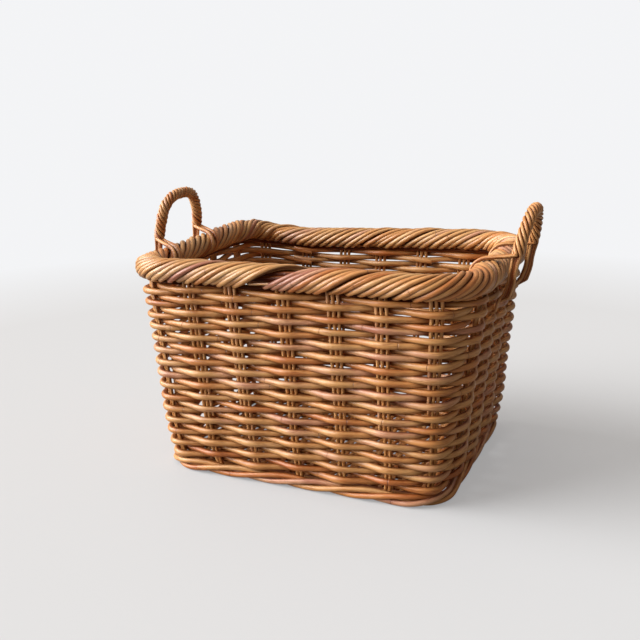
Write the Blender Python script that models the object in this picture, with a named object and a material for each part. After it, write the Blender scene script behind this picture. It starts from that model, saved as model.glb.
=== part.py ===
"""Rectangular market basket woven from whole rattan rods, with a rolled rope border and two loop handles.

Metres, +Z up. The origin is the middle of the underside, +X runs along the length, and the long front
wall faces -Y. Nothing moves: every piece is held by the weave.

The wall is one ring shape that changes with height. A place on it is a share, from 0 to 1 once round from
the middle of the front towards +X, and a level, from 0 at the floor to 1 at the middle of the border.
"""

import math

import bmesh
import bpy
from mathutils import Vector

# Wall: half sizes of the ring that runs through the stakes.
RIM_HALF_LENGTH = 0.2425
RIM_HALF_DEPTH = 0.182
RIM_CORNER_RADIUS = 0.063
RIM_LEAN = -0.0025
BASE_HALF_LENGTH = 0.200
BASE_HALF_DEPTH = 0.168
BASE_CORNER_RADIUS = 0.045
BORDER_HEIGHT = 0.299
HEEL_LENGTHENING = 0.0169
HEEL_DEEPENING = 0.0139
HEEL_POWER = 8
FLARE_POWER = 1.7

# Stakes: upright bundles that lean round the basket a little as they rise.
STAKE_COUNT = 22
STAKE_THICKNESS = 0.0057
STAKE_TOP_WIDTH = 0.0155
STAKE_FOOT_WIDTH = 0.0105
STAKE_LEAN_SHARE = 0.0131
STAKE_FOOT_HEIGHT = 0.001
STAKE_STATIONS = 11
STAKE_STATION_POWER = 2.0

# Weavers: one closed row of rod at a time, in front of one stake and behind the next.
ROW_COUNT = 30
ROWS_FOOT_HEIGHT = 0.0205
ROWS_TOP_HEIGHT = 0.2795
ROW_CLEARANCE = 0.0004
WEAVER_THICKNESS = 0.0080
WEAVE_SWING = 0.0103

# Foot: a two-rod wale outside the stakes, and the base with its frame inside them.
WALE_HALF_WIDTH = 0.0050
WALE_HALF_HEIGHT = 0.0096
WALE_LOBE = 0.10
WALE_OFFSET = 0.0106
WALE_SEGMENTS_PER_STAKE = 4
WALE_SIDES = 8
FRAME_WIDTH = 0.0110
FRAME_HEIGHT = 0.0115
PANEL_HEIGHT = 0.0095
EDGE_ROUNDING = 0.0015

# Border: rods rolled into one thick rope along the rim.
BORDER_HALF_WIDTH = 0.0215
BORDER_HALF_HEIGHT = 0.0178
BORDER_SIDES = 12

# Handles: a bent core rod, and the strands twisted round it, on the outside of the border.
CORE_RADIUS = 0.0038
WRAP_INNER_RADIUS = 0.0042
WRAP_OUTER_RADIUS = 0.0078
LEG_END_OFFSET = 0.0235
LEG_END_DROP = 0.031
LEG_BEND_INSET = 0.0012
LEG_BEND_DROP = 0.013
WRAP_LEG_CUT = 0.25
ARCH_SEGMENTS = 18
HANDLE_SIDES = 8
CORE_SIDES = 6
HANDLES = (
    {
        "name": "left_handle", "side": -1, "offset": 0.0330, "lean": -0.0090,
        "middle": -0.0080, "half_width": 0.0550, "height": 0.0870, "squareness": 2.3,
    },
    {
        "name": "right_handle", "side": 1, "offset": 0.0310, "lean": 0.0150,
        "middle": 0.0067, "half_width": 0.0624, "height": 0.0800, "squareness": 2.1,
    },
)

GAP = 0.0003
CORNER_STEPS = 5
SMOOTH_ANGLE = math.radians(40)
STRAIGHT_ENOUGH = math.radians(10)

# Rattan tones, used in turn so that neighbouring rods differ.
WEAVER_TONES = ((0.60, 0.36, 0.16), (0.66, 0.43, 0.21), (0.55, 0.31, 0.15), (0.63, 0.38, 0.20))
STAKE_TONES = ((0.62, 0.41, 0.21), (0.57, 0.35, 0.17))
FOOT_TONE = (0.52, 0.27, 0.12)
BASE_TONE = (0.56, 0.35, 0.17)
BORDER_TONE = (0.63, 0.38, 0.17)
CORE_TONE = (0.58, 0.36, 0.18)
WRAP_TONE = (0.55, 0.32, 0.15)
RATTAN_ROUGHNESS = 0.42


def clear_scene():
    """Remove whatever objects the file holds."""
    for thing in list(bpy.data.objects):
        bpy.data.objects.remove(thing, do_unlink=True)


def rattan(name, tone):
    """A satin rattan surface of one tone."""
    material = bpy.data.materials.new(name)
    material.use_nodes = True
    surface = material.node_tree.nodes["Principled BSDF"]
    surface.inputs["Base Color"].default_value = (*tone, 1.0)
    surface.inputs["Roughness"].default_value = RATTAN_ROUGHNESS
    surface.inputs["Metallic"].default_value = 0.0
    material.diffuse_color = (*tone, 1.0)
    return material


def add_object(name, form, tone):
    """Turn a bmesh into a named object with its own material, shaded smooth except at its edges."""
    bmesh.ops.recalc_face_normals(form, faces=form.faces)
    mesh = bpy.data.meshes.new(name)
    form.to_mesh(mesh)
    form.free()
    mesh.shade_smooth()
    mesh.set_sharp_from_angle(angle=SMOOTH_ANGLE)
    mesh.materials.append(rattan(name, tone))
    piece = bpy.data.objects.new(name, mesh)
    bpy.context.scene.collection.objects.link(piece)
    return piece


def skin(form, sections, closed):
    """Join a run of cross-sections, each a list of as many points, with quads, and return the rings."""
    rings = [[form.verts.new(point) for point in section] for section in sections]
    following = rings[1:] + rings[:1] if closed else rings[1:]
    for ring, after in zip(rings, following):
        for corner in range(len(ring)):
            beside = (corner + 1) % len(ring)
            form.faces.new((ring[corner], ring[beside], after[beside], after[corner]))
    return rings


def sweep_open(name, sections, tone):
    """A rod: cross-sections joined in a run, with a cap on each end."""
    form = bmesh.new()
    rings = skin(form, sections, closed=False)
    form.faces.new(rings[0])
    form.faces.new(rings[-1])
    return add_object(name, form, tone)


def sweep_closed(name, sections, tone):
    """A hoop: cross-sections joined in a run that meets its own start."""
    form = bmesh.new()
    skin(form, sections, closed=True)
    return add_object(name, form, tone)


def wall_size(level):
    """Half length, half depth and corner radius of the wall's ring at a level."""
    heel = 1 - (1 - level) ** HEEL_POWER
    flare = level ** FLARE_POWER
    half_length = BASE_HALF_LENGTH + HEEL_LENGTHENING * heel
    half_length += (RIM_HALF_LENGTH - BASE_HALF_LENGTH - HEEL_LENGTHENING) * flare
    half_depth = BASE_HALF_DEPTH + HEEL_DEEPENING * heel
    half_depth += (RIM_HALF_DEPTH - BASE_HALF_DEPTH - HEEL_DEEPENING) * flare
    radius = BASE_CORNER_RADIUS + (RIM_CORNER_RADIUS - BASE_CORNER_RADIUS) * level
    return half_length, half_depth, radius


def side_lengths():
    """Lengths of the rim ring's stretches, straight and corner in turn, from the middle of the front."""
    length = 2 * (RIM_HALF_LENGTH - RIM_CORNER_RADIUS)
    depth = 2 * (RIM_HALF_DEPTH - RIM_CORNER_RADIUS)
    corner = RIM_CORNER_RADIUS * math.pi / 2
    return [length / 2, corner, depth, corner, length, corner, depth, corner, length / 2]


def ring_frame(share, level):
    """The point of the wall's ring at a share and level, and its outward normal, both seen from above.

    The ring drifts a little to the left as it rises, by the rim's lean.
    """
    drift = Vector((RIM_LEAN * level ** FLARE_POWER, 0))
    half_length, half_depth, radius = wall_size(level)
    straight_x = half_length - radius
    straight_y = half_depth - radius
    lengths = side_lengths()
    left_over = (share % 1.0) * sum(lengths)
    stretch = 0
    while stretch < len(lengths) - 1 and left_over > lengths[stretch]:
        left_over -= lengths[stretch]
        stretch += 1
    along = left_over / lengths[stretch]
    if stretch % 2:
        corner = stretch // 2
        angle = math.pi / 2 * (corner - 1 + along)
        middle = Vector((
            straight_x if corner in (0, 1) else -straight_x,
            straight_y if corner in (1, 2) else -straight_y,
        ))
        normal = Vector((math.cos(angle), math.sin(angle)))
        return drift + middle + radius * normal, normal
    starts = {
        0: (Vector((0, -half_depth)), Vector((straight_x, -half_depth)), Vector((0, -1))),
        2: (Vector((half_length, -straight_y)), Vector((half_length, straight_y)), Vector((1, 0))),
        4: (Vector((straight_x, half_depth)), Vector((-straight_x, half_depth)), Vector((0, 1))),
        6: (Vector((-half_length, straight_y)), Vector((-half_length, -straight_y)), Vector((-1, 0))),
        8: (Vector((-straight_x, -half_depth)), Vector((0, -half_depth)), Vector((0, -1))),
    }
    start, end, normal = starts[stretch]
    return drift + start.lerp(end, along), normal


def corner_shares():
    """Shares at the ends of the straight stretches and at even steps round each corner."""
    lengths = side_lengths()
    total = sum(lengths)
    shares = []
    walked = 0.0
    for stretch, length in enumerate(lengths):
        if stretch % 2:
            for step in range(CORNER_STEPS + 1):
                shares.append((walked + length * step / CORNER_STEPS) / total)
        walked += length
    return shares


def stake_share(number, level):
    """Share of a stake at a level: evenly spaced, drifting round the basket towards the foot."""
    return number / STAKE_COUNT + STAKE_LEAN_SHARE * (0.5 - level)


def wall_turns(share, following, level):
    """Whether the wall bends between two shares, as it does round a corner."""
    normal = ring_frame(share, level)[1]
    return normal.angle(ring_frame(following, level)[1]) > STRAIGHT_ENOUGH


def ring_section(share, level, outline):
    """One cross-section of the wall, from (outward from the ring, height) pairs."""
    point, normal = ring_frame(share, level)
    return [Vector((*(point + outward * normal), height)) for outward, height in outline]


def add_stake(number):
    """One upright: a flat six-sided bundle that follows the wall from the floor to under the border."""
    name = f"stake_{number + 1:02d}"
    top = BORDER_HEIGHT - BORDER_HALF_HEIGHT - 2 * GAP
    sections = []
    for station in range(STAKE_STATIONS):
        rise = (station / (STAKE_STATIONS - 1)) ** STAKE_STATION_POWER
        height = STAKE_FOOT_HEIGHT + (top - STAKE_FOOT_HEIGHT) * rise
        level = height / BORDER_HEIGHT
        point, normal = ring_frame(stake_share(number, level), level)
        along = Vector((-normal.y, normal.x))
        half_width = (STAKE_FOOT_WIDTH + (STAKE_TOP_WIDTH - STAKE_FOOT_WIDTH) * level) / 2
        half_thickness = STAKE_THICKNESS / 2
        outline = [(1, 0), (0.5, 1), (-0.5, 1), (-1, 0), (-0.5, -1), (0.5, -1)]
        sections.append([
            Vector((*(point + half_width * across * along + half_thickness * out * normal), height))
            for across, out in outline
        ])
    sweep_open(name, sections, STAKE_TONES[number % len(STAKE_TONES)])


def add_weaver(row):
    """One row: a hoop that swings out round one stake and in behind the next, within its own height."""
    pitch = (ROWS_TOP_HEIGHT - ROWS_FOOT_HEIGHT) / ROW_COUNT
    middle = ROWS_FOOT_HEIGHT + (row + 0.5) * pitch
    level = middle / BORDER_HEIGHT
    half_height = (pitch - ROW_CLEARANCE) / 2
    half_thickness = WEAVER_THICKNESS / 2
    turns = []
    for number in range(STAKE_COUNT):
        swing = WEAVE_SWING if (number + row) % 2 else -WEAVE_SWING
        turns.append((stake_share(number, level), swing))
        if wall_turns(stake_share(number, level), stake_share(number + 1, level), level):
            turns.append((stake_share(number + 0.5, level), 0.0))
    sections = []
    for share, swing in turns:
        outline = [
            (swing + half_thickness * out, middle + half_height * up)
            for out, up in ((1, -1), (1, 1), (-1, 1), (-1, -1))
        ]
        sections.append(ring_section(share, level, outline))
    sweep_closed(f"weaver_{row + 1:02d}", sections, WEAVER_TONES[row % len(WEAVER_TONES)])


def add_foot_wale():
    """Two rods twisted together round the outside of the stakes, at the floor."""
    segments = STAKE_COUNT * WALE_SEGMENTS_PER_STAKE
    sections = []
    for segment in range(segments):
        twist = math.pi * segment / WALE_SEGMENTS_PER_STAKE
        outline = []
        for side in range(WALE_SIDES):
            angle = 2 * math.pi * side / WALE_SIDES
            swell = 1 - WALE_LOBE + WALE_LOBE * math.cos(2 * (angle - twist))
            out = WALE_OFFSET + WALE_HALF_WIDTH * swell * math.cos(angle)
            outline.append((out, WALE_HALF_HEIGHT * (1 + swell * math.sin(angle))))
        sections.append(ring_section(segment / segments, WALE_HALF_HEIGHT / BORDER_HEIGHT, outline))
    sweep_closed("foot_wale", sections, FOOT_TONE)


def add_base():
    """The frame rod inside the stakes, and the woven panel that fills it. Both lie flat on the floor."""
    shares = corner_shares()
    outer = -(STAKE_THICKNESS / 2 + GAP)
    inner = outer - FRAME_WIDTH
    bevel = EDGE_ROUNDING
    outline = [
        (outer - bevel, 0), (outer, bevel), (outer, FRAME_HEIGHT - bevel), (outer - bevel, FRAME_HEIGHT),
        (inner + bevel, FRAME_HEIGHT), (inner, FRAME_HEIGHT - bevel), (inner, bevel), (inner + bevel, 0),
    ]
    sweep_closed("base_frame", [ring_section(share, 0.0, outline) for share in shares], BASE_TONE)
    edge = inner - GAP
    profile = [(edge - bevel, 0), (edge, bevel), (edge, PANEL_HEIGHT - bevel), (edge - bevel, PANEL_HEIGHT)]
    layers = [[ring_section(share, 0.0, [place])[0] for share in shares] for place in profile]
    sweep_open("base_panel", layers, BASE_TONE)


def add_border():
    """The rolled border: one thick oval rope that caps the stakes."""
    outline = []
    for side in range(BORDER_SIDES):
        angle = 2 * math.pi * side / BORDER_SIDES
        height = BORDER_HEIGHT + BORDER_HALF_HEIGHT * math.sin(angle)
        outline.append((BORDER_HALF_WIDTH * math.cos(angle), height))
    sections = [ring_section(share, 1.0, outline) for share in corner_shares()]
    sweep_closed("border_roll", sections, BORDER_TONE)


def handle_arch(handle):
    """Points of the handle's arch, as (outward from the rim, along the rim, up from the border)."""
    power = handle["squareness"]
    points = []
    for step in range(ARCH_SEGMENTS + 1):
        angle = math.pi * step / ARCH_SEGMENTS
        reach = (abs(math.cos(angle)) ** power + abs(math.sin(angle)) ** power) ** (-1 / power)
        rise = reach * math.sin(angle)
        across = handle["middle"] - handle["half_width"] * reach * math.cos(angle)
        points.append((handle["offset"] + handle["lean"] * rise, across, handle["height"] * rise))
    return points


def handle_path(handle, leg_cut):
    """The handle's centre line from leg end to leg end. The cut shortens each leg's last stretch."""
    bend = Vector((handle["offset"] - LEG_BEND_INSET, -LEG_BEND_DROP))
    end = Vector((LEG_END_OFFSET, -LEG_END_DROP)).lerp(bend, leg_cut)
    near = handle["middle"] - handle["half_width"]
    far = handle["middle"] + handle["half_width"]
    near_leg = [(out, near, up) for out, up in (end, bend)]
    far_leg = [(out, far, up) for out, up in (bend, end)]
    return [
        Vector((RIM_LEAN + handle["side"] * (RIM_HALF_LENGTH + out), across, BORDER_HEIGHT + up))
        for out, across, up in near_leg + handle_arch(handle) + far_leg
    ]


def round_sections(path, radius, sides):
    """Circles of one radius square to a path that lies close to a plane facing X."""
    sections = []
    for index, point in enumerate(path):
        before = path[max(index - 1, 0)]
        after = path[min(index + 1, len(path) - 1)]
        tangent = (after - before).normalized()
        inward = tangent.cross(Vector((1, 0, 0))).normalized()
        sideways = inward.cross(tangent)
        section = []
        for side in range(sides):
            angle = 2 * math.pi * (side + 0.5) / sides
            section.append(point + radius * (math.cos(angle) * sideways + math.sin(angle) * inward))
        sections.append(section)
    return sections


def add_handle(handle):
    """A bent core rod, and the tube of twisted strands round it, open at both leg ends."""
    core = round_sections(handle_path(handle, 0.0), CORE_RADIUS, CORE_SIDES)
    sweep_open(handle["name"] + "_core", core, CORE_TONE)
    path = handle_path(handle, WRAP_LEG_CUT)
    form = bmesh.new()
    outside = skin(form, round_sections(path, WRAP_OUTER_RADIUS, HANDLE_SIDES), closed=False)
    inside = skin(form, round_sections(path, WRAP_INNER_RADIUS, HANDLE_SIDES), closed=False)
    for end in (0, -1):
        for side in range(HANDLE_SIDES):
            beside = (side + 1) % HANDLE_SIDES
            rim = (outside[end][side], outside[end][beside], inside[end][beside], inside[end][side])
            form.faces.new(rim)
    add_object(handle["name"] + "_wrap", form, WRAP_TONE)


def build():
    """Make every piece of the basket, from the floor up."""
    clear_scene()
    add_base()
    add_foot_wale()
    for number in range(STAKE_COUNT):
        add_stake(number)
    for row in range(ROW_COUNT):
        add_weaver(row)
    add_border()
    for handle in HANDLES:
        add_handle(handle)


build()
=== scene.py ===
"""The looks of a woven market basket: every rod of the CAD model's bundles is made one by one.

Metres, +Z up, in the CAD model's frame. A place on the wall is a share, from 0 to 1 once round from the
middle of the front towards +X, and a level, from 0 at the floor to 1 at the middle of the border. A rod's
tone, from 0 to 1, picks its colour from GOLD.
"""

import math

import bpy
import numpy as np
from mathutils import Matrix, Vector


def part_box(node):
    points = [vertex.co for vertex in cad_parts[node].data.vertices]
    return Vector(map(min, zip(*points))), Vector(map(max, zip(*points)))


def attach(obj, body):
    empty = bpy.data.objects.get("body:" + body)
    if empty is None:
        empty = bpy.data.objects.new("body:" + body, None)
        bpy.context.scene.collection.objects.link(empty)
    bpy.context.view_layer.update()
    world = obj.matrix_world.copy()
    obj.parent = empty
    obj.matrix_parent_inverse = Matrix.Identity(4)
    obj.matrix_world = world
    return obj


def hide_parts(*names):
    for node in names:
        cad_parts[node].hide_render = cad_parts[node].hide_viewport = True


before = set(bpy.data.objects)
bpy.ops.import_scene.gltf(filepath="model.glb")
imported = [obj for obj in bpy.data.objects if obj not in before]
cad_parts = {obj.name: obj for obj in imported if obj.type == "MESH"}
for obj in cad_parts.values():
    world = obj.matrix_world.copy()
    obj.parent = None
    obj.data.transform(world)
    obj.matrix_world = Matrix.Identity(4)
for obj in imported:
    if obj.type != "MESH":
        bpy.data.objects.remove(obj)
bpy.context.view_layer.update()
dice = np.random.default_rng(11)

# ---- sizes taken from the frame
border_low, border_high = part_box("border_roll")
base_low, base_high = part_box("base_frame")
panel_low, panel_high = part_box("base_panel")
ROLL_UP = (border_high.z - border_low.z) / 2
ROLL_OUT = ROLL_UP * 1.208
RIM_Z = (border_high.z + border_low.z) / 2
RIM_X = (border_high.x - border_low.x) / 2 - ROLL_OUT
RIM_Y = border_high.y - ROLL_OUT
RIM_LEAN = (border_high.x + border_low.x) / 2
FRAME_TO_WALL = 0.00315
FOOT_X = base_high.x + FRAME_TO_WALL
FOOT_Y = base_high.y + FRAME_TO_WALL
STAKES = sum(name.startswith("stake_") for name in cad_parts)
ROWS = sum(name.startswith("weaver_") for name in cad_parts)

# ---- the wall's shape, as the CAD model has it, with a slight belly in the short sides
RIM_CORNER = 0.063
FOOT_CORNER = 0.045
HEEL_X = 0.0169
HEEL_Y = 0.0139
HEEL_POWER = 8
FLARE_POWER = 1.7
BELLY = 0.0036
BELLY_RISE = ((0.35, 0.88, 1.0), (0, 1, 0))
LEAN_SHARE = 0.0131

# ---- how far the hand-made border stands above or below its mean height, by direction from the middle
RIM_RISES = (
    (-180, 0.002), (-155, -0.003), (-140, -0.003), (-120, 0.0), (0, 0.0), (32, 0.001), (48, 0.0045),
    (60, 0.004), (75, 0.002), (90, -0.001), (105, -0.004), (118, -0.005), (127, -0.001), (136, 0.008),
    (146, 0.009), (160, 0.006),
)
RISE_POWER = 5

# ---- any rod
NODE_SPACING = 0.31
NODE_SWELL = 0.05
NODE_SWELL_REACH = 0.005
ROUND_END_TURNS = np.radians([75.0, 40.0])
PITH_TONE = 2.0

# ---- stakes
STAKE_RADIUS = 0.0027
STAKE_SPACING = 0.0069
STAKE_LEVELS = (0.012, 0.985)
STAKE_PLACES = (-0.55, 0.55)
BY_STAKE_PLACE = 1.55
BY_STAKE_STARTS = (0.28, 0.62)
STAKE_FOOT_SPREAD = 0.88
STAKE_WAVER = 0.0004

# ---- weavers
WEAVER_HALF_UP = 0.0050
WEAVER_HALF_OUT = 0.0045
CROSSING_HALF_UP = 0.0043
CROSSING_EXTRA_OUT = 0.0003
WEAVE_SWING = 0.0091
WEAVE_KINK = 0.12
WEAVER_TUCK = 0.016
TUCK_REACH = 2.2
TUCK_RISE = 0.0032
TUCK_IN = 0.0030
TUCK_THINNING = 0.22
WEAVER_TONES = (0.34, 0.46, 0.56, 0.66, 0.78, 0.90)
WEAVER_TONE_ODDS = (0.08, 0.20, 0.26, 0.24, 0.12, 0.10)
WEAVER_WAVER = 0.0011
# painted shade on weaver faces inside the weave: the outer face behind a stake, the inner face in front of
# one
BEHIND_SHADE = 0.85
IN_FRONT_SHADE = 0.65
SHADE_POWER = 1.4
FOOT_ROWS = 10
FOOT_TONE_DROP = 0.26

# ---- the border; turns are counted round the roll from straight outward, up and over to the inside
BORDER_RADIUS = 0.0043
BORDER_RODS = 113
BORDER_LEAD = 0.172
BORDER_TURNS = (-0.32, 0.73)
BORDER_STEEPNESS = ((-0.34, -0.19, -0.09, 0.56, 0.64, 0.74), (0.3, 0.45, 1.0, 1.0, 0.55, 0.4))
BORDER_START_DIVE = 0.10
BORDER_END_DIVE = 0.14
BORDER_DIVE_DEPTH = 0.30
BORDER_TONE = 0.55
CORNER_TWIST = 1.3
CORNER_REACH = 1.1
GAP_SHARE = -0.011
GAP_PUSH = 0.086
GAP_REACH = 0.3
PALE_BUNDLE = 0.45
PALE_TONE = 0.62
DARK_BUNDLE = 0.28
DARK_TONE = 0.97
BUNDLE_MEMORY = 0.72
BUNDLE_STEP = 0.12
CORE_RODS = 5
CORE_TURNS = 3
CORE_OUT = 0.36
CORE_UP = 0.38
CORE_ROD_RADIUS = BORDER_RADIUS * 1.15
CLOSING_RADIUS = 0.0036
CLOSING_INSET = 0.003
CLOSING_RISE = 0.001
STRAY_RADIUS = 0.0019
STRAY_SHARES = (-0.018, 0.012)
STRAY_TURNS = (-0.075, -0.045)
STRAY_INSET = 0.0062

# ---- the foot and the base
WALE_RADIUS = 0.0040
WALE_OUT = 0.0088
WALE_SWING = 0.0036
WALE_START = 0.862
WALE_STEP = 0.03
WALE_OVERLAP = 0.012
WALE_TONES = (0.26, 0.50, 0.86)
FLOOR_CLEARANCE = 0.0001
FRAME_SHARES = (0.03, 1.034)
FRAME_THICKNESS_SHARE = 0.94
MAT_STICKS = 9
MAT_STICK_RADIUS = 0.0026
MAT_STICK_INSET = 0.012
MAT_WEAVER_PITCH = 0.0078
MAT_WEAVER_HALF_OUT = 0.0021
MAT_WEAVER_HALF_UP = 0.0036
MAT_WEAVER_INSET = 0.0045
MAT_CORNER = FOOT_CORNER - 0.0145
MAT_EDGE = 0.002
MAT_SWING_INSET = 0.0022

# ---- the handles
HANDLE_CORE_RADIUS = 0.0034
STRAND_RADIUS = 0.0026
STRANDS = 6
STRAND_GAP = 2.1
WRAP_RADIUS = 0.0078
ROPE_REACH = 0.0060
LEG_ROPE_REACH = 0.0040
LEG_END_OFFSET = 0.0235
LEG_END_DROP = 0.031
LEG_BEND_INSET = 0.0012
LEG_BEND_DROP = 0.013
OVER_HEIGHT = 0.023
OVER_END = 232
OVER_CLEARANCE = 0.85
OVER_TUCK = 0.25
OVER_TUCK_FROM = 0.8
OVER_FIRST_DRIFT = 0.42
TAIL_END_DROP = 0.058
TAIL_REACHES = (0.0175, 0.0160, 0.0150, 0.0060)
TAIL_SPREADS = (0.3, 0.6, 0.8, 0.8)
TAIL_DROPS = (0.4, 0.75, 0.95, 1.0)
HANDLES = (
    {"name": "left_handle", "side": -1, "offset": 0.0330, "lean": -0.0090, "squareness": 3.0, "wider": 0.002,
     "drift": -0.046, "lead": 0.044},
    {"name": "right_handle", "side": 1, "offset": 0.0310, "lean": 0.0150, "squareness": 2.2, "wider": 0.0015,
     "drift": -0.012, "lead": 0.062},
)

# ---- colours, from reddish brown over gold to a dull pinkish brown
GOLD = (
    (0.00, (0.35, 0.095, 0.018)),
    (0.25, (0.47, 0.170, 0.044)),
    (0.48, (0.545, 0.264, 0.090)),
    (0.68, (0.585, 0.338, 0.138)),
    (0.85, (0.555, 0.298, 0.176)),
    (1.00, (0.37, 0.140, 0.082)),
)
PITH = (0.70, 0.50, 0.30)
NODE_RING = (0.22, 0.11, 0.07)
NODE_RING_HALF = 0.0009
NODE_HALO = (0.62, 0.45, 0.33)
NODE_HALO_HALF = 0.007
TONE_DRIFT = 0.85
STREAKS = ((0.30, (0.60, 0.50, 0.42)), (0.48, (1, 1, 1)), (0.62, (1, 1, 1)), (0.75, (1.12, 1.12, 1.15)))
BLOTCHES = ((0.32, (0.60, 0.45, 0.34)), (0.50, (1, 1, 1)))
SURROUNDINGS = (0.90, 0.905, 0.92)

# ---- the stage
FLOOR_HALF = 6.0
FLOOR_SEEN = (0.465, 0.480, 0.500)
FLOOR_AS_LIGHT = (0.26, 0.25, 0.24)
FLOOR_FADE = (0.7, 1.9)
FLOOR_GLOW = 0.33
WINDOW_DIRECTION = (0.89, 0.37, -0.53)
WINDOW_SPREAD = 54
WINDOW_STRENGTH = 6.8
WINDOW_COLOUR = (1.0, 0.985, 0.965)
ROOM_COLOUR = (1.0, 0.86, 0.73, 1)
ROOM_STRENGTH = 0.125
ROOM_TO_THE_RIGHT = -0.10
ROOM_FROM_THE_LEFT = 0.45
ROOM_FROM_ABOVE = 0.48
CAMERA_AZIMUTH = math.radians(23.51)
CAMERA_ELEVATION = math.radians(14.21)
CAMERA_ROLL = math.radians(-0.92)
CAMERA_DISTANCE = 1.318
CAMERA_AIM = Vector((-0.0329, -0.0003, 0.1963))
CAMERA_LENS = 47.8


# ---- the wall's shape
def wall_size(level):
    """Half length, half depth and corner radius of the wall's middle line at a level."""
    heel = 1 - (1 - np.clip(level, 0, 1)) ** HEEL_POWER
    flare = np.clip(level, 0, None) ** FLARE_POWER
    belly = BELLY * np.interp(level, *BELLY_RISE)
    half_x = FOOT_X + HEEL_X * heel + (RIM_X - FOOT_X - HEEL_X) * flare + belly
    half_y = FOOT_Y + HEEL_Y * heel + (RIM_Y - FOOT_Y - HEEL_Y) * flare
    return half_x, half_y, FOOT_CORNER + (RIM_CORNER - FOOT_CORNER) * level


def rim_stretches():
    """Shares at which the rim's straights and corners begin and end, and the rim's length."""
    length = 2 * (RIM_X - RIM_CORNER)
    depth = 2 * (RIM_Y - RIM_CORNER)
    corner = RIM_CORNER * math.pi / 2
    lengths = [length / 2, corner, depth, corner, length, corner, depth, corner, length / 2]
    walked = np.concatenate([[0.0], np.cumsum(lengths)])
    return walked / walked[-1], walked[-1]


STRETCHES, RIM_LENGTH = rim_stretches()


def wall(share, level, outward=0.0, height=None):
    """Points off the wall's middle line, and its outward normals, for arrays of shares and levels."""
    share = np.asarray(share, float)
    level = np.broadcast_to(np.asarray(level, float), share.shape)
    half_x, half_y, radius = wall_size(level)
    part = share - np.floor(share)
    quarter = np.interp(part, STRETCHES, [-1, -1, 0, 0, 1, 1, 2, 2, 3, 3])
    across = np.interp(part, STRETCHES, [0, 1, 1, 1, 1, -1, -1, -1, -1, 0])
    along = np.interp(part, STRETCHES, [-1, -1, -1, 1, 1, 1, 1, -1, -1, -1])
    angle = quarter * math.pi / 2
    normal = np.stack([np.cos(angle), np.sin(angle), np.zeros_like(angle)], axis=-1)
    reach = radius + outward
    points = normal * reach[..., None]
    points[..., 0] += across * (half_x - radius) + RIM_LEAN * np.clip(level, 0, None) ** FLARE_POWER
    points[..., 1] += along * (half_y - radius)
    points[..., 2] = level * RIM_Z if height is None else height
    return points, normal


def rise(points):
    """Lift points near the rim as the hand-made border is lifted, more at some corners than at others."""
    angle = np.arctan2(points[:, 1] / RIM_Y, (points[:, 0] - RIM_LEAN) / RIM_X)
    wanted = np.array([height for _, height in RIM_RISES])
    places = np.radians([degrees for degrees, _ in RIM_RISES])
    lift = np.interp(angle, places, wanted, period=2 * math.pi)
    lifted = points.copy()
    lifted[:, 2] += lift * np.clip(points[:, 2] / RIM_Z, 0, 1) ** RISE_POWER
    return lifted


def stake_share(number, level):
    """Share of a stake at a level."""
    return number / STAKES + LEAN_SHARE * (0.5 - level)


def waver(count, cycles, size):
    """A slow random wave of a few cycles, for the unevenness of hand work."""
    turn = np.linspace(0, 2 * math.pi, count)
    wave = np.zeros(count)
    for cycle in range(1, cycles + 1):
        wave += dice.normal() * np.sin(cycle * turn + dice.uniform(0, 2 * math.pi)) / math.sqrt(cycle)
    return wave * size / math.sqrt(cycles)


def length_along(path):
    """How far along a path each of its points is."""
    return np.concatenate([[0.0], np.cumsum(np.linalg.norm(np.diff(path, axis=0), axis=1))])


# ---- rods
def with_round_ends(path, outward, tangent, half_out, half_up, face_shades, scale, walked):
    """The same rod with two shrinking rings beyond each end, so that it ends round."""
    first_radius = min(half_out[0], half_up[0])
    last_radius = min(half_out[-1], half_up[-1])
    beyond = np.concatenate([
        -first_radius * np.sin(ROUND_END_TURNS),
        np.zeros(len(path)),
        last_radius * np.sin(ROUND_END_TURNS[::-1]),
    ])
    scale = np.concatenate([np.cos(ROUND_END_TURNS), scale, np.cos(ROUND_END_TURNS[::-1])])
    path, outward, tangent, half_out, half_up, face_shades, walked = [
        np.concatenate([column[:1], column[:1], column, column[-1:], column[-1:]])
        for column in (path, outward, tangent, half_out, half_up, face_shades, walked)
    ]
    path = path + beyond[:, None] * tangent
    return path, outward, tangent, half_out, half_up, face_shades, scale, walked + beyond


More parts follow.
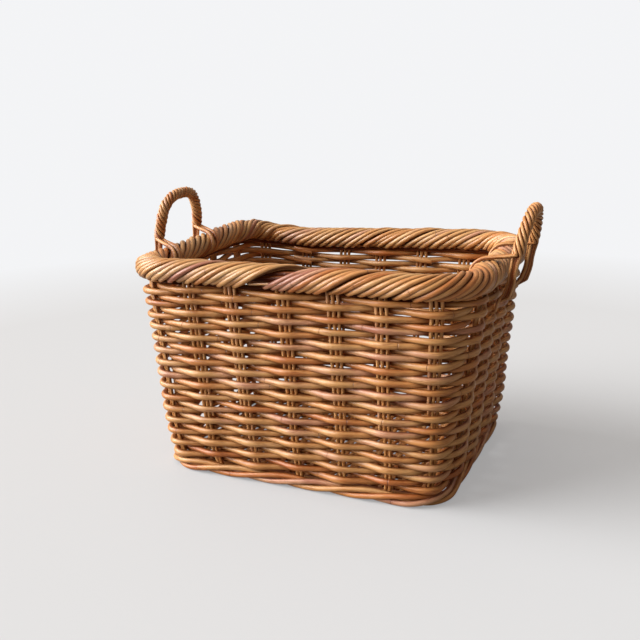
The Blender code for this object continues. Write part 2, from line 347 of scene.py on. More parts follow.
class Rods:
    """Rods gathered into one mesh, with the attributes that the rattan material reads."""

    def __init__(self, name, sides=10):
        self.name = name
        self.sides = sides
        self.points = []
        self.faces = []
        self.grain = []
        self.seed = []
        self.tone = []
        self.depth = []
        self.used = 0

    def add(self, path, outward, half_out, half_up=None, tone=0.5, outer=0.0, inner=0.0, cut=False):
        """One rod along a path. Outward is the direction half_out is measured in; half_up is square to it.

        The outer and inner shade, from 0 to 1, are painted shade on the rod's outward and inward faces, for
        how far they lie inside the weave.
        A cut rod ends flat, and shows its pale pith. Other rods have rounded ends.
        """
        path = np.asarray(path, float)
        count = len(path)
        outward = np.broadcast_to(np.asarray(outward, float), path.shape)
        half_out = np.broadcast_to(np.asarray(half_out, float), count)
        half_up = half_out if half_up is None else np.broadcast_to(np.asarray(half_up, float), count)
        face_shades = np.stack([np.broadcast_to(face, count) for face in (outer, inner)], axis=1)
        tangent = np.gradient(path, axis=0)
        tangent /= np.linalg.norm(tangent, axis=1)[:, None]
        walked = length_along(path)
        seed = dice.uniform()
        from_node = np.abs((walked / NODE_SPACING + seed) % 1.0 - 0.5) * NODE_SPACING
        scale = 1 + NODE_SWELL * np.exp(-(from_node / NODE_SWELL_REACH) ** 2)
        if not cut:
            path, outward, tangent, half_out, half_up, face_shades, scale, walked = with_round_ends(
                path, outward, tangent, half_out, half_up, face_shades, scale, walked)
        side = outward - (outward * tangent).sum(1)[:, None] * tangent
        side /= np.linalg.norm(side, axis=1)[:, None]
        up = np.cross(tangent, side)
        angle = 2 * math.pi * np.arange(self.sides) / self.sides
        reach_out = (half_out * scale)[:, None, None] * np.cos(angle)[None, :, None] * side[:, None, :]
        reach_up = (half_up * scale)[:, None, None] * np.sin(angle)[None, :, None] * up[:, None, :]
        points = rise((path[:, None, :] + reach_out + reach_up).reshape(-1, 3))
        grain = np.empty((len(path), self.sides, 3))
        grain[..., 0] = walked[:, None]
        grain[..., 1] = np.cos(angle)[None, :]
        grain[..., 2] = np.sin(angle)[None, :]
        facing = np.cos(angle)[None, :]
        # painted shade: the outer shade on faces that look outward, the inner shade on faces that look
        # inward
        depth = face_shades[:, :1] * np.clip(facing, 0, 1) + face_shades[:, 1:] * np.clip(-facing, 0, 1)
        self.store(points, grain.reshape(-1, 3), depth.ravel(), seed, tone, cut)

    def store(self, points, grain, depth, seed, tone, cut):
        """Join a rod's rings with faces, close its ends, and keep it. Cut ends have corners of their own."""
        sides = self.sides
        index = self.used + np.arange(len(points)).reshape(-1, sides)
        beside = np.roll(index, -1, axis=1)
        quads = np.stack([index[:-1], beside[:-1], beside[1:], index[1:]], axis=-1).reshape(-1, 4)
        self.faces += quads.tolist()
        tones = np.full(len(points), tone)
        caps = index[[0, -1]]
        if cut:
            caps = self.used + len(points) + np.arange(2 * sides).reshape(2, sides)
            points = np.concatenate([points, points[:sides], points[-sides:]])
            grain = np.concatenate([grain, grain[:sides], grain[-sides:]])
            tones = np.concatenate([tones, np.full(2 * sides, PITH_TONE)])
            depth = np.concatenate([depth, np.zeros(2 * sides)])
        self.faces.append(caps[0, ::-1].tolist())
        self.faces.append(caps[1].tolist())
        self.points.append(points)
        self.grain.append(grain)
        self.seed.append(np.full(len(points), seed))
        self.tone.append(tones)
        self.depth.append(depth)
        self.used += len(points)

    def finish(self, material, slot, *replaced):
        """Make the mesh object, and let it stand for the CAD nodes it replaces."""
        mesh = bpy.data.meshes.new(self.name)
        mesh.from_pydata(np.concatenate(self.points).tolist(), [], self.faces)
        for name, kind, key, values in (
            ("grain", "FLOAT_VECTOR", "vector", self.grain),
            ("rod_seed", "FLOAT", "value", self.seed),
            ("rod_tone", "FLOAT", "value", self.tone),
            # painted shade, by how far each face lies inside the weave
            ("rod_painted_shade", "FLOAT", "value", self.depth),
        ):
            attribute = mesh.attributes.new(name, kind, "POINT")
            attribute.data.foreach_set(key, np.concatenate(values).astype(np.float32).ravel())
        mesh.shade_smooth()
        mesh.materials.append(material)
        mesh.validate()
        piece = bpy.data.objects.new(self.name, mesh)
        bpy.context.scene.collection.objects.link(piece)
        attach(piece, "root")
        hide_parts(*replaced)


# ---- materials
def node(tree, kind, **settings):
    """Add a shader node; settings named in_NAME set an input by its name, the others set a property."""
    made = tree.nodes.new(kind)
    for key, value in settings.items():
        if key.startswith("in_"):
            made.inputs[key[3:]].default_value = value
        else:
            setattr(made, key, value)
    return made


def maths(tree, operation, first, second=None, third=None):
    """A Math node fed by sockets or numbers; returns its output."""
    made = tree.nodes.new("ShaderNodeMath")
    made.operation = operation
    for place, value in enumerate((first, second, third)):
        if value is None:
            continue
        if isinstance(value, (int, float)):
            made.inputs[place].default_value = value
        else:
            tree.links.new(value, made.inputs[place])
    return made.outputs[0]


def ramp(tree, factor, stops):
    """A colour ramp of (place, colour) stops."""
    made = tree.nodes.new("ShaderNodeValToRGB")
    elements = made.color_ramp.elements
    while len(elements) < len(stops):
        elements.new(0.5)
    for element, (place, colour) in zip(elements, stops):
        element.position = place
        element.color = (*colour, 1.0)
    tree.links.new(factor, made.inputs[0])
    return made.outputs[0]


def mix(tree, kind, factor, first, second):
    """Mix two colours; factor, first and second are sockets, numbers or colours."""
    made = tree.nodes.new("ShaderNodeMix")
    made.data_type = "RGBA"
    made.blend_type = kind
    made.clamp_factor = True
    for place, value in ((0, factor), (6, first), (7, second)):
        if hasattr(value, "is_output"):
            tree.links.new(value, made.inputs[place])
        elif isinstance(value, tuple):
            made.inputs[place].default_value = (*value, 1.0)
        else:
            made.inputs[place].default_value = value
    return made.outputs[2]


def noise(tree, vector, detail, rough=0.5):
    """A noise texture's value."""
    made = node(tree, "ShaderNodeTexNoise", in_Scale=1.0, in_Detail=detail, in_Roughness=rough)
    tree.links.new(vector, made.inputs["Vector"])
    return made.outputs["Fac"]


def rod_noise(tree, grain, seed, stretch, around, detail, rough=0.5):
    """Noise that runs along a rod, different for each rod: stretch is per metre, around per rod radius."""
    along, turn_x, turn_y = grain
    place = tree.nodes.new("ShaderNodeCombineXYZ")
    shifted = maths(tree, "MULTIPLY_ADD", seed, 40.0, maths(tree, "MULTIPLY", along, stretch))
    tree.links.new(shifted, place.inputs[0])
    tree.links.new(maths(tree, "MULTIPLY", turn_x, around), place.inputs[1])
    tree.links.new(maths(tree, "MULTIPLY", turn_y, around), place.inputs[2])
    return noise(tree, place.outputs[0], detail, rough)


def node_rings(tree, along, seed):
    """How much of a thin ring, and of the halo beside it, is at each point along a rod."""
    part = maths(tree, "FRACT", maths(tree, "ADD", maths(tree, "DIVIDE", along, NODE_SPACING), seed))
    beside = maths(tree, "MULTIPLY", maths(tree, "SUBTRACT", part, 0.5), NODE_SPACING)
    distance = maths(tree, "ABSOLUTE", beside)

    def near(reach):
        left = maths(tree, "SUBTRACT", 1.0, maths(tree, "DIVIDE", distance, reach))
        return maths(tree, "MAXIMUM", left, 0.0)

    return near(NODE_RING_HALF), near(NODE_HALO_HALF)


def rattan(name, flank_shade=0.9, roll=9.0, roughness=0.38, coat=0.11, tint=(0.97, 0.905, 0.82),
           painted_shade_colour=(0.22, 0.036, 0.004)):
    """Whole rattan: a tone for each rod, streaks along it, thin dark rings at its nodes and a satin skin.

    Where rods touch along their flanks, and on faces that lie far inside the weave, painted shade multiplies
    the colour by the painted shade colour, and lowers the gloss.
    The flank shade says how dark the painted shade on a rod's flanks gets, and a higher roll keeps that to a
    narrower line.
    """
    material = bpy.data.materials.new(name)
    material.use_nodes = True
    tree = material.node_tree
    surface = tree.nodes["Principled BSDF"]
    seed = node(tree, "ShaderNodeAttribute", attribute_name="rod_seed").outputs["Fac"]
    tone = node(tree, "ShaderNodeAttribute", attribute_name="rod_tone").outputs["Fac"]
    # the painted shade each point carries
    depth = node(tree, "ShaderNodeAttribute", attribute_name="rod_painted_shade").outputs["Fac"]
    direction = node(tree, "ShaderNodeAttribute", attribute_name="grain").outputs["Vector"]
    split = tree.nodes.new("ShaderNodeSeparateXYZ")
    tree.links.new(direction, split.inputs[0])
    grain = list(split.outputs)
    drift = rod_noise(tree, grain, seed, stretch=14.0, around=0.35, detail=2.0)
    blotch = rod_noise(tree, grain, seed, stretch=60.0, around=1.6, detail=3.0)
    streak = rod_noise(tree, grain, seed, stretch=34.0, around=7.0, detail=3.0, rough=0.6)
    fibre = rod_noise(tree, grain, seed, stretch=120.0, around=22.0, detail=2.0, rough=0.6)
    ring, halo = node_rings(tree, grain[0], seed)

    shift = maths(tree, "MULTIPLY", maths(tree, "SUBTRACT", drift, 0.5), TONE_DRIFT)
    tone_here = maths(tree, "ADD", tone, shift)
    # painted shade: a rod's flanks where it touches its neighbours, and faces that lie inside the weave
    flank_shade_mask = maths(tree, "POWER", maths(tree, "ABSOLUTE", grain[2]), roll)
    painted_shade_mask = maths(tree, "MAXIMUM", maths(tree, "MULTIPLY", flank_shade_mask, flank_shade), depth)
    colour = ramp(tree, tone_here, GOLD)
    for share, shade in (
        (0.9, ramp(tree, streak, STREAKS)),
        (0.75, ramp(tree, blotch, BLOTCHES)),
        # painted shade
        (painted_shade_mask, painted_shade_colour),
        (maths(tree, "MULTIPLY", halo, 0.30), NODE_HALO),
        (maths(tree, "MULTIPLY", ring, 0.6), NODE_RING),
        (1.0, tint),
    ):
        colour = mix(tree, "MULTIPLY", share, colour, shade)
    is_pith = maths(tree, "GREATER_THAN", tone, (1 + PITH_TONE) / 2)
    colour = mix(tree, "MIX", is_pith, colour, PITH)
    tree.links.new(colour, surface.inputs["Base Color"])

    rough = maths(tree, "MULTIPLY_ADD", streak, 0.25, roughness - 0.12)
    tree.links.new(rough, surface.inputs["Roughness"])
    # less gloss under the painted shade
    skin = maths(tree, "MULTIPLY_ADD", painted_shade_mask, -0.9, 1.0)
    tree.links.new(maths(tree, "MULTIPLY", skin, 0.45), surface.inputs["Specular IOR Level"])
    tree.links.new(maths(tree, "MULTIPLY", skin, coat), surface.inputs["Coat Weight"])
    surface.inputs["Coat Roughness"].default_value = 0.2

    height = maths(tree, "MULTIPLY_ADD", streak, 0.5, maths(tree, "MULTIPLY", fibre, 0.35))
    height = maths(tree, "SUBTRACT", height, maths(tree, "MULTIPLY", ring, 1.2))
    bump = node(tree, "ShaderNodeBump", in_Strength=0.6, in_Distance=0.0007)
    tree.links.new(height, bump.inputs["Height"])
    tree.links.new(bump.outputs[0], surface.inputs["Normal"])
    return material


# ---- the wall
def add_stake(number, material):
    """Two rods from floor to border, and a shorter by-stake from the border down, side by side."""
    rods = Rods(f"stake_rods_{number + 1:02d}", sides=8)
    by_stake_side = 1 if dice.uniform() < 0.5 else -1
    places = [(place, 0.0) for place in STAKE_PLACES]
    places.append((BY_STAKE_PLACE * by_stake_side, dice.uniform(*BY_STAKE_STARTS)))
    count = 26
    for side, start in places:
        level = np.linspace(max(start, STAKE_LEVELS[0]), STAKE_LEVELS[1], count)
        narrowing = STAKE_FOOT_SPREAD + (1 - STAKE_FOOT_SPREAD) * level
        spread = STAKE_SPACING * side * narrowing + waver(count, 4, STAKE_WAVER)
        share = stake_share(number, level) + spread / RIM_LENGTH
        path, normal = wall(share, level, waver(count, 5, STAKE_WAVER))
        thickness = np.full(count, STAKE_RADIUS * dice.uniform(0.92, 1.06))
        thickness[0] *= 0.8
        # painted shade on the stake's inward face
        rods.add(path, normal, thickness, tone=dice.uniform(0.50, 0.76), inner=0.3)
    rods.finish(material, "stake_rods", f"stake_{number + 1:02d}")


def row_waves(share, row, level):
    """How far out a row of rod stands at each share, from -1 behind a stake to 1 in front of one."""
    turn = math.pi * (STAKES * (share - LEAN_SHARE * (0.5 - level)) + row + 1)
    return (np.cos(turn) + WEAVE_KINK * np.cos(3 * turn)) / (1 + WEAVE_KINK)


def add_row(row, material):
    """A row of weaving: two rods that meet behind stakes, each in front of one stake and behind the next."""
    name = f"weaver_{row + 1:02d}"
    low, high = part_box(name)
    middle = (low.z + high.z) / 2
    level = middle / RIM_Z
    rods = Rods(f"weaver_rods_{row + 1:02d}", sides=12)
    inside = [number for number in range(STAKES) if (number + row) % 2 == 0]
    first = int(dice.integers(len(inside)))
    half = len(inside) // 2 + int(dice.integers(-2, 3))
    joints = [inside[first], inside[(first + half) % len(inside)]]
    tuck = WEAVER_TUCK / RIM_LENGTH
    for begin, end in (joints, joints[::-1]):
        if end <= begin:
            end += STAKES
        start_share = stake_share(begin, level) - tuck
        end_share = stake_share(end, level) + tuck
        count = int((end_share - start_share) * STAKES * 14) + 2
        share = np.linspace(start_share, end_share, count)
        wave = row_waves(share, row, level)
        near_start = np.clip(1 - (share - start_share) / (TUCK_REACH * tuck), 0, 1) ** 2
        near_end = np.clip(1 - (end_share - share) / (TUCK_REACH * tuck), 0, 1) ** 2
        near = near_start + near_end
        size = dice.uniform(0.90, 1.08) + waver(count, 3, 0.02)
        size = size * (1 - TUCK_THINNING * near)
        half_out = (WEAVER_HALF_OUT + CROSSING_EXTRA_OUT * (1 - wave ** 2)) * size
        half_up = (CROSSING_HALF_UP + (WEAVER_HALF_UP - CROSSING_HALF_UP) * wave ** 2) * size
        height = middle + waver(count, 7, WEAVER_WAVER) + TUCK_RISE * (near_end - near_start)
        path, normal = wall(share, level, WEAVE_SWING * wave - TUCK_IN * near, height)
        # painted shade: on the outer face where the rod passes behind a stake, on the inner face where it
        # passes in front
        outer = BEHIND_SHADE * np.clip(-wave, 0, 1) ** SHADE_POWER
        inner = IN_FRONT_SHADE * np.clip(wave, 0, 1) ** SHADE_POWER
        rods.add(path, normal, half_out, half_up, row_tone(row), outer, inner, cut=True)
    rods.finish(material, "weaver_rods", name)


def row_tone(row):
    """Rods near the foot are redder, and the rest vary from golden to pinkish brown."""
    foot = max(0.0, 1 - row / FOOT_ROWS)
    tone = dice.choice(WEAVER_TONES, p=WEAVER_TONE_ODDS)
    return float(tone + dice.uniform(-0.05, 0.05) - FOOT_TONE_DROP * foot * dice.uniform(0.3, 1.0))


# ---- the border
def walked_at(rate, place):
    """How far something that moves at a rate has come at each place."""
    return np.concatenate([[0.0], np.cumsum((rate[1:] + rate[:-1]) / 2 * np.diff(place))])


def border_twist():
    """Shares, and the turns a border rod has made at each, with more twist in the corners."""
    share = np.linspace(-0.5, 1.5, 4001)
    part = share - np.floor(share)
    edges = np.array(STRETCHES[1:-1])
    in_corner = np.zeros_like(share)
    for begin, end in zip(edges[0::2], edges[1::2]):
        middle, reach = (begin + end) / 2, (end - begin) / 2
        in_corner += np.exp(-((part - middle) / (reach * CORNER_REACH)) ** 2)
    rate = (1 + (CORNER_TWIST - 1) * in_corner) * RIM_LENGTH / BORDER_LEAD
    turns = walked_at(rate, share)
    return share, turns - np.interp(0.0, share, turns)


TWIST_SHARE, TWIST_TURNS = border_twist()


def add_border(material):
    """Rods rolled over the rim: each comes up from below on the outside, crosses the top and dives inside.

    At one place in front they part and leave a gap, dark with the painted shade on the core rods in it, with
    a pale bundle before it and a dark one after.
    """
    rods = Rods("border_rods", sides=10)
    count = 48
    once_round = np.interp(1.0, TWIST_SHARE, TWIST_TURNS)
    gap = np.interp(GAP_SHARE, TWIST_SHARE, TWIST_TURNS) % once_round
    bundle = 0.0
    for number in range(BORDER_RODS):
        radius = BORDER_RADIUS * dice.uniform(0.88, 1.08)
        raised = float(np.clip(dice.normal() * 0.0009, -0.002, 0.0012))
        bundle = BUNDLE_MEMORY * bundle + BUNDLE_STEP * dice.normal()
        start = BORDER_TURNS[0] + dice.uniform(-0.015, 0.015)
        end = BORDER_TURNS[1] + dice.uniform(-0.02, 0.02)
        begun = once_round * number / BORDER_RODS + dice.normal() * 0.010
        from_gap = (begun - gap + once_round / 2) % once_round - once_round / 2
        begun += GAP_PUSH * np.sign(from_gap) * math.exp(-(from_gap / GAP_REACH) ** 2)
        turn = np.linspace(start, end, count)
        moved = walked_at(np.interp(turn, *BORDER_STEEPNESS), turn)
        moved -= np.interp(0.0, turn, moved)
        share = np.interp(begun + moved, TWIST_TURNS, TWIST_SHARE)
        angle = 2 * math.pi * turn
        dive = np.clip((turn - end) / BORDER_END_DIVE + 1, 0, 1) ** 2
        dive = dive + np.clip((start - turn) / BORDER_START_DIVE + 1, 0, 1) ** 2
        shrink = 1 - BORDER_DIVE_DEPTH * dive
        reach_out = (ROLL_OUT - radius + raised) * shrink + waver(count, 3, 0.0004)
        reach_up = (ROLL_UP - radius + raised) * shrink
        path, normal = wall(share, 1.0, reach_out * np.cos(angle), RIM_Z + reach_up * np.sin(angle))
        outward = normal * np.cos(angle)[:, None]
        outward[:, 2] = np.sin(angle)
        tone = BORDER_TONE + bundle + dice.normal() * 0.08
        if -PALE_BUNDLE < from_gap < DARK_BUNDLE:
            tone = PALE_TONE if from_gap < 0 else DARK_TONE
            tone += dice.normal() * 0.04
        tone = float(np.clip(tone, 0.05, 1.0))
        # painted shade on the outward face where the rod's ends dive under the roll and into the weave
        rods.add(path, outward, radius, tone=tone, outer=0.6 * np.clip(dive, 0, 1))
    add_border_core(rods)
    rods.finish(material, "border_rods", "border_roll")


def add_border_core(rods):
    """Rods of the darkest tone, in painted shade on all their faces, that run along inside the roll and
    under it, and one thin pale rod in the gap.
    """
    count = 150
    share = np.linspace(0, 1.01, count)
    for number in range(CORE_RODS):
        angle = 2 * math.pi * (number / CORE_RODS + CORE_TURNS * share)
        out = CORE_OUT * (ROLL_OUT - BORDER_RADIUS) * np.cos(angle)
        up = CORE_UP * (ROLL_UP - BORDER_RADIUS) * np.sin(angle)
        path, normal = wall(share, 1.0, out, RIM_Z + up)
        # painted shade over all faces of the core rods
        rods.add(path, normal, CORE_ROD_RADIUS, tone=0.0, outer=1.0, inner=1.0)
    # the closing rod under the roll, nearly all in painted shade
    under = RIM_Z - ROLL_UP + CLOSING_RISE
    path, normal = wall(share, 1.0, waver(count, 9, 0.0006) - CLOSING_INSET, under)
    rods.add(path, normal, CLOSING_RADIUS, tone=0.1, outer=0.95, inner=0.8)
    share = GAP_SHARE + np.linspace(*STRAY_SHARES, 12)
    angle = 2 * math.pi * np.linspace(*STRAY_TURNS, 12)
    out = (ROLL_OUT - STRAY_INSET) * np.cos(angle)
    path, normal = wall(share, 1.0, out, RIM_Z + ROLL_UP * np.sin(angle))
    rods.add(path, normal, STRAY_RADIUS, tone=0.8)


# ---- the foot and the base
def add_foot(material):
    """A wale of three rods twisted round the outside of the stakes at the floor, with its ends cut off."""
    rods = Rods("foot_wale_rods", sides=10)
    low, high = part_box("foot_wale")
    half_up = (high.z - low.z) / 2
    middle = (high.z + low.z) / 2
    level = middle / RIM_Z
    strands = len(WALE_TONES)
    count = STAKES * 12
    starts = [WALE_START + WALE_STEP * number for number in range(strands)]
    ends = [1 + start + WALE_OVERLAP for start in starts[1:] + starts[:1]]
    for number, tone in enumerate(WALE_TONES):
        share = np.linspace(starts[number], ends[number], count)
        turn = 2 * math.pi * (share * STAKES / strands + number / strands) + waver(count, 6, 0.25)
        radius = WALE_RADIUS * (1 + waver(count, 8, 0.03))
        out = WALE_OUT + WALE_SWING * np.cos(turn)
        up = middle + (half_up - WALE_RADIUS * 1.05) * np.sin(turn)
        path, normal = wall(share, level, out, up)
        path[:, 2] = np.maximum(path[:, 2], radius * (1 + NODE_SWELL) + FLOOR_CLEARANCE)
        rods.add(path, normal, radius, tone=tone, cut=True)
    rods.finish(material, "foot_rods", "foot_wale")


def add_base_frame(material):
    """The rod round the edge of the base."""
    rods = Rods("base_frame_rod", sides=12)
    half = (base_high.z - base_low.z) / 2
    share = np.linspace(*FRAME_SHARES, 200)
    path, normal = wall(share, 0.0, -(FRAME_TO_WALL + half), half)
    rods.add(path, normal, half * FRAME_THICKNESS_SHARE, tone=0.4)
    rods.finish(material, "base_rods", "base_frame")


def mat_reach(place, half_along, half_across):
    """How far a rod of the mat reaches at a place across the rounded panel."""
    over = max(0.0, abs(place) - (half_along - MAT_CORNER))
    return half_across - MAT_CORNER + math.sqrt(max(MAT_CORNER ** 2 - over ** 2, 0.0)) - MAT_EDGE


def add_base_mat(material):
    """Sticks along the length of the base, and weavers across them, over one and under the next."""
    rods = Rods("base_mat", sides=8)
    middle = (panel_high.z + panel_low.z) / 2
    swing = (panel_high.z - panel_low.z) / 2 - MAT_SWING_INSET
    half_x, half_y = panel_high.x, panel_high.y
    up = np.array([0.0, 0.0, 1.0])
    pitch = 2 * (half_y - MAT_STICK_INSET) / (MAT_STICKS - 1)
    count = 30
    for number in range(MAT_STICKS):
        y = -half_y + MAT_STICK_INSET + pitch * number
        end = mat_reach(y, half_y, half_x)
        x = np.linspace(-end, end, count)
        path = np.stack([x, y + waver(count, 3, 0.0006), np.full(count, middle)], axis=1)
        rods.add(path, up, MAT_STICK_RADIUS, tone=dice.uniform(0.4, 0.6))
    weavers = int(2 * half_x / MAT_WEAVER_PITCH)
    count = 70
    first = -half_x + MAT_WEAVER_INSET
    for number, x in enumerate(np.linspace(first, -first, weavers)):
        end = mat_reach(x, half_x, half_y)
        y = np.linspace(-end, end, count)
        wave = np.cos(math.pi * ((y + half_y - MAT_STICK_INSET) / pitch + number))
        path = np.stack([x + waver(count, 3, 0.0003), y, middle + swing * wave], axis=1)
        rods.add(path, up, MAT_WEAVER_HALF_OUT, MAT_WEAVER_HALF_UP, tone=dice.uniform(0.3, 0.72))
    rods.finish(material, "base_rods", "base_panel")


# ---- the handles
def handle_line(handle):
    """The handle's centre line, from the end of the near leg over the arch to the end of the far leg."""
    low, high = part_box(handle["name"] + "_wrap")
    middle = (low.y + high.y) / 2
    half = (high.y - low.y) / 2 - WRAP_RADIUS + handle["wider"]
    height = high.z - WRAP_RADIUS - RIM_Z
    power = handle["squareness"]
    angle = np.linspace(0, math.pi, 90)
    reach = (np.abs(np.cos(angle)) ** power + np.abs(np.sin(angle)) ** power) ** (-1 / power)
    up = reach * np.sin(angle)
    out = handle["offset"] + handle["lean"] * up
    across = middle - half * reach * np.cos(angle)
    leg_out = np.array([LEG_END_OFFSET, handle["offset"] - LEG_BEND_INSET])
    leg_up = np.array([-LEG_END_DROP, -LEG_BEND_DROP])
    out = np.concatenate([leg_out, out, leg_out[::-1]])
    up = np.concatenate([leg_up, height * up, leg_up[::-1]])
    across = np.concatenate([[middle - half] * 2, across, [middle + half] * 2])
    x = RIM_LEAN + handle["side"] * (RIM_X + out)
    return smooth(np.stack([x, across, RIM_Z + up], axis=1), 2)


def resample(path, count):
    """The path again, at even steps, and how far along it each step is. Extra columns are carried along."""
    walked = length_along(path[:, :3])
    even = np.linspace(0, walked[-1], count)
    return np.stack([np.interp(even, walked, column) for column in path.T], axis=1), even


def smooth(path, times):
    """Cut the corners of a path, keeping its ends."""
    for _ in range(times):
        cut = np.empty((2 * len(path) - 2, path.shape[1]))
        cut[0::2] = 0.75 * path[:-1] + 0.25 * path[1:]
        cut[1::2] = 0.25 * path[:-1] + 0.75 * path[1:]
        path = np.concatenate([path[:1], cut, path[-1:]])
    return path


def over_tail(side, leaving, drift):
    """A strand's way from its rope over the border and under its inner side, with outward columns.

    It leaves the rope at a point and first touches the border where a taut line would.
    """
    count = 16
    clear = STRAND_RADIUS * OVER_CLEARANCE
    out = side * (leaving[0] - RIM_LEAN) - RIM_X
    up = leaving[2] - RIM_Z
    touch = math.atan2(up, out) + math.acos(min(1.0, (ROLL_UP + clear) / math.hypot(out, up)))
    angle = np.linspace(touch, math.radians(OVER_END), count)
    grow = np.linspace(OVER_FIRST_DRIFT, 1, count)
    tuck = 1 - OVER_TUCK * np.clip((grow - OVER_TUCK_FROM) / (1 - OVER_TUCK_FROM), 0, 1)
    x = RIM_LEAN + side * (RIM_X + (ROLL_OUT + clear) * tuck * np.cos(angle))
    z = RIM_Z + (ROLL_UP + clear) * tuck * np.sin(angle)
    flat = np.zeros(count)
    return np.stack([x, leaving[1] + drift * grow, z, side * np.cos(angle), flat, np.sin(angle)], axis=1)


def down_tail(side, leaving, sideways):
    """A strand's way from the foot of its leg in to the wall, down over the top rows and in behind one."""
    drop = TAIL_END_DROP + dice.uniform(-0.008, 0.004)
    level = 1 - drop / RIM_Z
    half_x, _, _ = wall_size(level)
    surface = half_x + RIM_LEAN * side * level ** FLARE_POWER - RIM_X
    x = RIM_LEAN + side * (RIM_X + surface + np.array(TAIL_REACHES))
    y = leaving[1] + sideways * np.array(TAIL_SPREADS)
    z = RIM_Z - np.interp(TAIL_DROPS, [0, 1], [LEG_END_DROP, drop])
    flat = np.zeros(len(TAIL_REACHES))
    return np.stack([x, y, z, side + flat, flat, flat], axis=1)


def add_handle(handle, material):
    """A core rod, and strands twisted round it. At each leg half the strands go over the border."""
    side = handle["side"]
    x_axis = np.array([1.0, 0.0, 0.0])
    line, even = resample(handle_line(handle), 220)
    core = Rods(handle["name"] + "_core_rod", sides=10)
    core.add(line, x_axis, HANDLE_CORE_RADIUS, tone=0.3)
    core.finish(material, "handle_rods", handle["name"] + "_core")

    tangent = np.gradient(line, axis=0)
    tangent /= np.linalg.norm(tangent, axis=1)[:, None]
    sideways = x_axis - tangent[:, :1] * tangent
    sideways /= np.linalg.norm(sideways, axis=1)[:, None]
    inward = np.cross(tangent, sideways)
    leaving = RIM_Z + OVER_HEIGHT
    roped = np.flatnonzero(line[:, 2] > leaving)
    near, far = roped[0], roped[-1]
    twisted = np.clip(even, even[near], even[far])
    tight = np.clip((line[:, 2] - leaving + 0.012) / 0.02, 0, 1)
    rope = Rods(handle["name"] + "_strands", sides=8)
    for number in range(STRANDS):
        turn = 2 * math.pi * (number / STRANDS - twisted / handle["lead"]) + waver(len(even), 5, 0.09)
        radius = STRAND_RADIUS * dice.uniform(0.9, 1.12)
        reach = LEG_ROPE_REACH + (ROPE_REACH - LEG_ROPE_REACH) * tight + waver(len(even), 7, 0.0002)
        away = np.cos(turn)[:, None] * sideways + np.sin(turn)[:, None] * inward
        path = np.concatenate([line + reach[:, None] * away, away], axis=1)
        start, end = 0, len(path)
        beside = (number // 2 - 1) * STRAND_GAP * STRAND_RADIUS
        if number % 2 == 0:
            start = near
            before = over_tail(side, path[near], handle["drift"] + beside)[::-1]
        else:
            before = down_tail(side, path[0], beside)[::-1]
        if (number // 2 + number) % 2 == 0:
            end = far + 1
            after = over_tail(side, path[far], handle["drift"] + beside)
        else:
            after = down_tail(side, path[-1], beside)
        full = np.concatenate([before, path[start:end], after])
        full, _ = resample(smooth(full, 3), 320)
        tone = float(np.clip(dice.normal(0.56, 0.14), 0.15, 0.92))
        rope.add(full[:, :3], full[:, 3:], radius, tone=tone)
    rope.finish(material, "handle_rods", handle["name"] + "_wrap")


# ---- the stage
def choose(tree, factor, first, second, output):
    """Send a mix of two shaders to an output node."""
    choice = tree.nodes.new("ShaderNodeMixShader")
    tree.links.new(factor, choice.inputs[0])
    tree.links.new(first.outputs[0], choice.inputs[1])
    tree.links.new(second.outputs[0], choice.inputs[2])
    tree.links.new(choice.outputs[0], tree.nodes[output].inputs["Surface"])


def add_floor():
    """A pale floor that throws little light back. The camera sees it fade into the pale surroundings."""
    material = bpy.data.materials.new("pale_floor")
    material.use_nodes = True
    tree = material.node_tree
    surface = tree.nodes["Principled BSDF"]
    seen = tree.nodes.new("ShaderNodeLightPath").outputs["Is Camera Ray"]
    tree.links.new(mix(tree, "MIX", seen, FLOOR_AS_LIGHT, FLOOR_SEEN), surface.inputs["Base Color"])
    surface.inputs["Roughness"].default_value = 0.5
    surface.inputs["Specular IOR Level"].default_value = 0.1
    place = tree.nodes.new("ShaderNodeNewGeometry")
    length = node(tree, "ShaderNodeVectorMath", operation="LENGTH")
    tree.links.new(place.outputs["Position"], length.inputs[0])
    near, far = FLOOR_FADE
    fade = maths(tree, "MULTIPLY_ADD", length.outputs["Value"], 1 / (far - near), -near / (far - near))
    fade = maths(tree, "MINIMUM", maths(tree, "MAXIMUM", fade, FLOOR_GLOW), 1.0)
    surroundings = node(tree, "ShaderNodeEmission", in_Color=(*SURROUNDINGS, 1))
    choose(tree, maths(tree, "MULTIPLY", fade, seen), surface, surroundings, "Material Output")
    mesh = bpy.data.meshes.new("floor")
    corners = [(x * FLOOR_HALF, y * FLOOR_HALF, 0) for x, y in ((-1, -1), (1, -1), (1, 1), (-1, 1))]
    mesh.from_pydata(corners, [], [(0, 1, 2, 3)])
    mesh.materials.append(material)
    floor = bpy.data.objects.new("floor", mesh)
    bpy.context.scene.collection.objects.link(floor)


def add_window_light():
    """Soft light as from a large window far away, on the front left."""
    light = bpy.data.lights.new("window", "SUN")
    light.angle = math.radians(WINDOW_SPREAD)
    light.energy = WINDOW_STRENGTH
    light.color = WINDOW_COLOUR
    lamp = bpy.data.objects.new("window", light)
    lamp.rotation_euler = Vector(WINDOW_DIRECTION).to_track_quat("-Z", "Y").to_euler()
    bpy.context.scene.collection.objects.link(lamp)


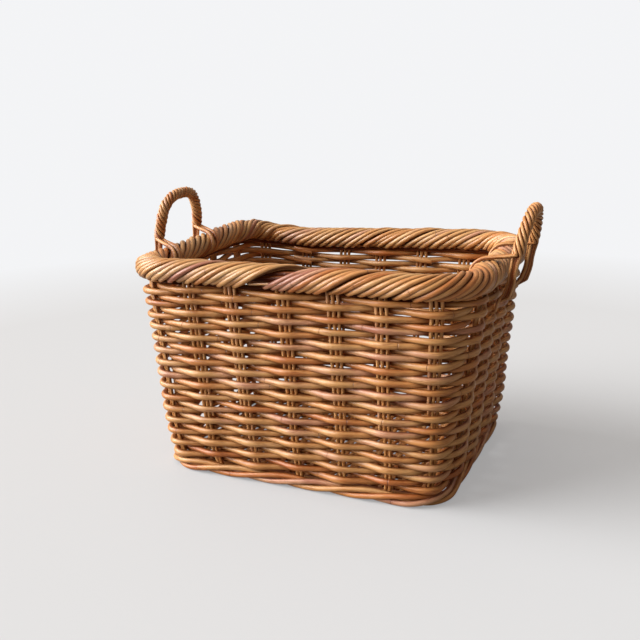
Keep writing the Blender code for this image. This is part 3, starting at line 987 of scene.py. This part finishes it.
def add_camera():
    """The camera: from the front, a little to the right and a little above the rim."""
    back = Vector((
        math.sin(CAMERA_AZIMUTH) * math.cos(CAMERA_ELEVATION),
        -math.cos(CAMERA_AZIMUTH) * math.cos(CAMERA_ELEVATION),
        math.sin(CAMERA_ELEVATION),
    ))
    data = bpy.data.cameras.new("camera")
    data.sensor_width = 36.0
    data.lens = CAMERA_LENS
    camera = bpy.data.objects.new("camera", data)
    place = Matrix.Translation(CAMERA_AIM + back * CAMERA_DISTANCE)
    level = (-back).to_track_quat("-Z", "Y").to_matrix().to_4x4()
    camera.matrix_world = place @ level @ Matrix.Rotation(CAMERA_ROLL, 4, "Z")
    bpy.context.scene.collection.objects.link(camera)
    bpy.context.scene.camera = camera


def add_world():
    """Pale surroundings for the camera; as a source of light they are dimmer, most so low on the right."""
    world = bpy.data.worlds.new("studio")
    world.use_nodes = True
    tree = world.node_tree
    light = tree.nodes["Background"]
    light.inputs["Color"].default_value = ROOM_COLOUR
    direction = tree.nodes.new("ShaderNodeTexCoord")
    split = tree.nodes.new("ShaderNodeSeparateXYZ")
    tree.links.new(direction.outputs["Generated"], split.inputs[0])
    left = maths(tree, "MAXIMUM", maths(tree, "MULTIPLY", split.outputs[0], -1.0), 0.0)
    above = maths(tree, "MAXIMUM", split.outputs[2], 0.0)
    strength = maths(tree, "MULTIPLY_ADD", split.outputs[0], ROOM_TO_THE_RIGHT, ROOM_STRENGTH)
    strength = maths(tree, "MULTIPLY_ADD", left, ROOM_FROM_THE_LEFT, strength)
    strength = maths(tree, "MULTIPLY_ADD", above, ROOM_FROM_ABOVE, strength)
    tree.links.new(strength, light.inputs["Strength"])
    surroundings = node(tree, "ShaderNodeBackground", in_Color=(*SURROUNDINGS, 1), in_Strength=1.0)
    seen = tree.nodes.new("ShaderNodeLightPath").outputs["Is Camera Ray"]
    choose(tree, seen, light, surroundings, "World Output")
    bpy.context.scene.world = world


# the stakes' lighter tint is painted light, for the light they catch from the side at a grazing angle
stake_material = rattan("stake_rattan", tint=(1.22, 1.14, 1.03))
weaver_material = rattan("weaver_rattan")
# the border's painted shade colour is darkest, for the dark lines of shade between its rods
border_material = rattan("border_rattan", flank_shade=1.0, roll=4.0, roughness=0.32, coat=0.22,
                         tint=(1.03, 1.04, 1.06), painted_shade_colour=(0.095, 0.018, 0.003))
foot_material = rattan("foot_rattan", tint=(1.05, 1.02, 0.98))
base_material = rattan("base_rattan")
handle_material = rattan("handle_rattan", roll=5.0, tint=(1.0, 0.95, 0.92))

for number in range(STAKES):
    add_stake(number, stake_material)
for row in range(ROWS):
    add_row(row, weaver_material)
add_border(border_material)
add_foot(foot_material)
add_base_frame(base_material)
add_base_mat(base_material)
for handle in HANDLES:
    add_handle(handle, handle_material)

add_floor()
add_world()
add_window_light()
add_camera()
bpy.context.scene.view_settings.view_transform = "Standard"
